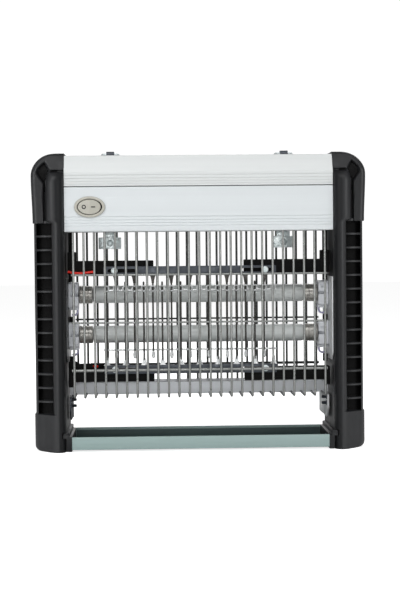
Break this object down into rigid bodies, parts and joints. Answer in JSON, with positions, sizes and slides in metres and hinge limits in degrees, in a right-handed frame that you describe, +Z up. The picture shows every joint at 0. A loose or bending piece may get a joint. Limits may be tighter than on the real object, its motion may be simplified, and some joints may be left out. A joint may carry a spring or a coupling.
{
  "type": "electric bug zapper",
  "caption": "Free-standing electric insect killer: a wire cage between two end posts, with lamps, a charged wire grid, a rocker switch and a pull-out tray.",
  "frame": {"origin": "centre of the footprint, on the surface that the part stands on", "axes": "+Z up, -Y towards the front with the switch, +X to the right seen from the front"},
  "size_m": [0.29, 0.09, 0.2616],
  "materials": {
    "black_abs": "satin moulded plastic",
    "deep_black": "plain moulded plastic",
    "satin_aluminium": "satin anodised extrusion",
    "switch_grey": "fine grain",
    "lamp_glass": "frosted, coated inside",
    "lamp_cap_metal": "bright pressed metal",
    "holder_white": "moulded plastic",
    "guard_wire": "satin warm grey",
    "grid_steel": "bright wire and pressed strip",
    "zinc": "zinc plated",
    "tray_teal": "satin, pale blue green",
    "lead_red": "smooth silicone sleeve",
    "board_green": "bare board",
    "capacitor_yellow": "wrapped film"
  },
  "bodies": {
    "frame": {"ballast_board": "board_green", "bottom_rail": "satin_aluminium", "cable_gland": "deep_black", "front_guard": "guard_wire", "guard_floor": "guard_wire", "housing_body": "satin_aluminium", "hv_transformer": "deep_black", "left_end_frame": "black_abs", "left_guard_clip": "zinc", "left_guard_clip_screw": "zinc", "left_hanger_plate": "zinc", "left_inner_panel": "black_abs", "left_side_bracket": "zinc", "left_side_plate": "zinc", "lower_electrode": "grid_steel", "lower_grid_lead": "lead_red", "lower_left_grid_screw": "zinc", "lower_left_insulator": "deep_black", "lower_left_lamp_holder": "holder_white", "lower_right_grid_screw": "zinc", "lower_right_insulator": "deep_black", "lower_right_lamp_holder": "holder_white", "lower_wire_spacer": "zinc", "rear_guard": "guard_wire", "right_end_frame": "black_abs", "right_guard_clip": "zinc", "right_guard_clip_screw": "zinc", "right_hanger_plate": "zinc", "right_inner_panel": "black_abs", "right_side_bracket": "zinc", "right_side_plate": "zinc", "smoothing_capacitor": "capacitor_yellow", "switch_bezel": "switch_grey", "terminal_block": "holder_white", "top_cover": "satin_aluminium", "upper_electrode": "grid_steel", "upper_grid_lead": "lead_red", "upper_left_grid_screw": "zinc", "upper_left_insulator": "deep_black", "upper_left_lamp_holder": "holder_white", "upper_right_grid_screw": "zinc", "upper_right_insulator": "deep_black", "upper_right_lamp_holder": "holder_white", "upper_wire_spacer": "zinc"},
    "switch_rocker": {"switch_rocker": "switch_grey"},
    "tray": {"tray_pan": "tray_teal", "tray_left_cap": "black_abs", "tray_right_cap": "black_abs"},
    "left_bail": {"left_hanger_bail": "zinc"},
    "right_bail": {"right_hanger_bail": "zinc"},
    "upper_lamp": {"upper_lamp_tube": "lamp_glass", "upper_left_lamp_cap": "lamp_cap_metal", "upper_right_lamp_cap": "lamp_cap_metal", "upper_left_holder_rotor": "holder_white", "upper_right_holder_rotor": "holder_white"},
    "lower_lamp": {"lower_lamp_tube": "lamp_glass", "lower_left_lamp_cap": "lamp_cap_metal", "lower_right_lamp_cap": "lamp_cap_metal", "lower_left_holder_rotor": "holder_white", "lower_right_holder_rotor": "holder_white"}
  },
  "joints": [
    {"name": "rocker_tip", "type": "hinge", "parent": "frame", "child": "switch_rocker", "pos_m": [-0.0943, -0.0375, 0.2118], "axis": [0, 0, 1], "range_deg": [-20, 0]},
    {"name": "tray_slide", "type": "slide", "parent": "frame", "child": "tray", "axis": [0, -1, 0], "range_m": [0, 0.1]},
    {"name": "left_bail_fold", "type": "hinge", "parent": "frame", "child": "left_bail", "pos_m": [-0.077, 0, 0.259], "axis": [1, 0, 0], "range_deg": [0, 180]},
    {"name": "right_bail_fold", "type": "hinge", "parent": "frame", "child": "right_bail", "pos_m": [0.077, 0, 0.259], "axis": [1, 0, 0], "range_deg": [0, 180]},
    {"name": "upper_lamp_turn", "type": "hinge", "parent": "frame", "child": "upper_lamp", "pos_m": [0, 0, 0.13505], "axis": [1, 0, 0], "range_deg": [0, 90]},
    {"name": "lower_lamp_turn", "type": "hinge", "parent": "frame", "child": "lower_lamp", "pos_m": [0, 0, 0.09965], "axis": [1, 0, 0], "range_deg": [0, 90]}
  ]
}
